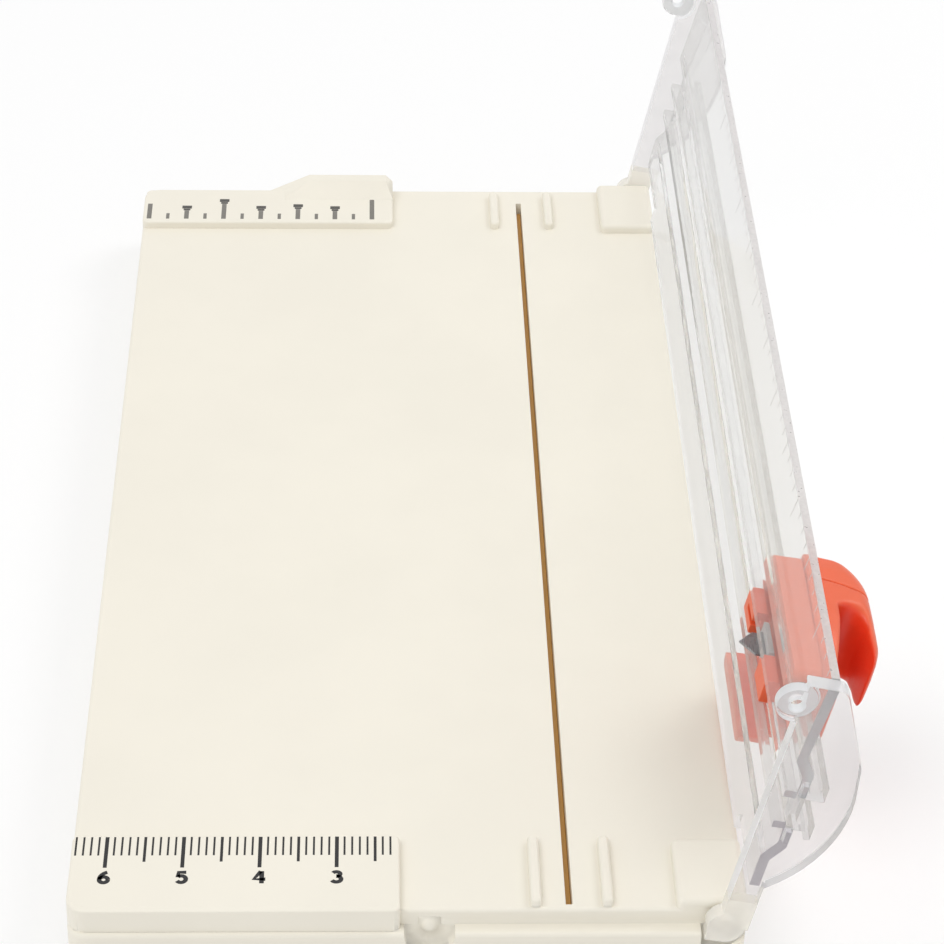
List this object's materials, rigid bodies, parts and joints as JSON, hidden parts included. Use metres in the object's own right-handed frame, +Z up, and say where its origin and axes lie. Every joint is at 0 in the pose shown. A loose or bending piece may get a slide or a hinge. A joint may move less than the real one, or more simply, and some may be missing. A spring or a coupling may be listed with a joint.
{
  "type": "paper trimmer",
  "caption": "Compact paper trimmer: cream bed with ruler fences and a cut groove, clear swing arm on end hinges, orange carriage that slides a small blade along the arm.",
  "frame": {"origin": "centre of the bounding box on the table, below the open arm's rest pose", "axes": "+X across the cut towards the hinge side, +Y along the cut away from the user, +Z up"},
  "size_m": [0.1066, 0.183, 0.0518],
  "materials": {
    "cream_plastic": "satin",
    "cream_plastic_matte": "matte",
    "pin_plastic": "satin",
    "clear_plastic": "clear gloss",
    "orange_plastic": "satin",
    "holder_plastic": "satin",
    "blade_steel": "ground",
    "screw_steel": "plated",
    "strip_plastic": "matte",
    "foot_rubber": "matte"
  },
  "bodies": {
    "base": {"base_shell": "cream_plastic", "base_cover": "cream_plastic_matte", "cover_screws": "screw_steel", "cutting_strip": "strip_plastic", "foot_near_left": "foot_rubber", "foot_near_right": "foot_rubber", "foot_far_left": "foot_rubber", "foot_far_right": "foot_rubber", "hinge_pin_near": "pin_plastic", "hinge_pin_far": "pin_plastic"},
    "arm": {"arm_rail": "clear_plastic", "end_plate_near": "clear_plastic", "end_plate_far": "clear_plastic"},
    "carriage": {"slider": "orange_plastic", "finger_loop": "orange_plastic", "rear_cap": "orange_plastic", "blade_holder": "holder_plastic", "blade": "blade_steel", "blade_pin": "screw_steel"}
  },
  "joints": [
    {"name": "arm_hinge", "type": "hinge", "parent": "base", "child": "arm", "pos_m": [0.03135, 0, 0.011], "axis": [0, -1, 0], "range_deg": [0, 101.55]},
    {"name": "carriage_slide", "type": "slide", "parent": "arm", "child": "carriage", "axis": [0, 1, 0], "range_m": [-0.0187, 0.1332]}
  ]
}
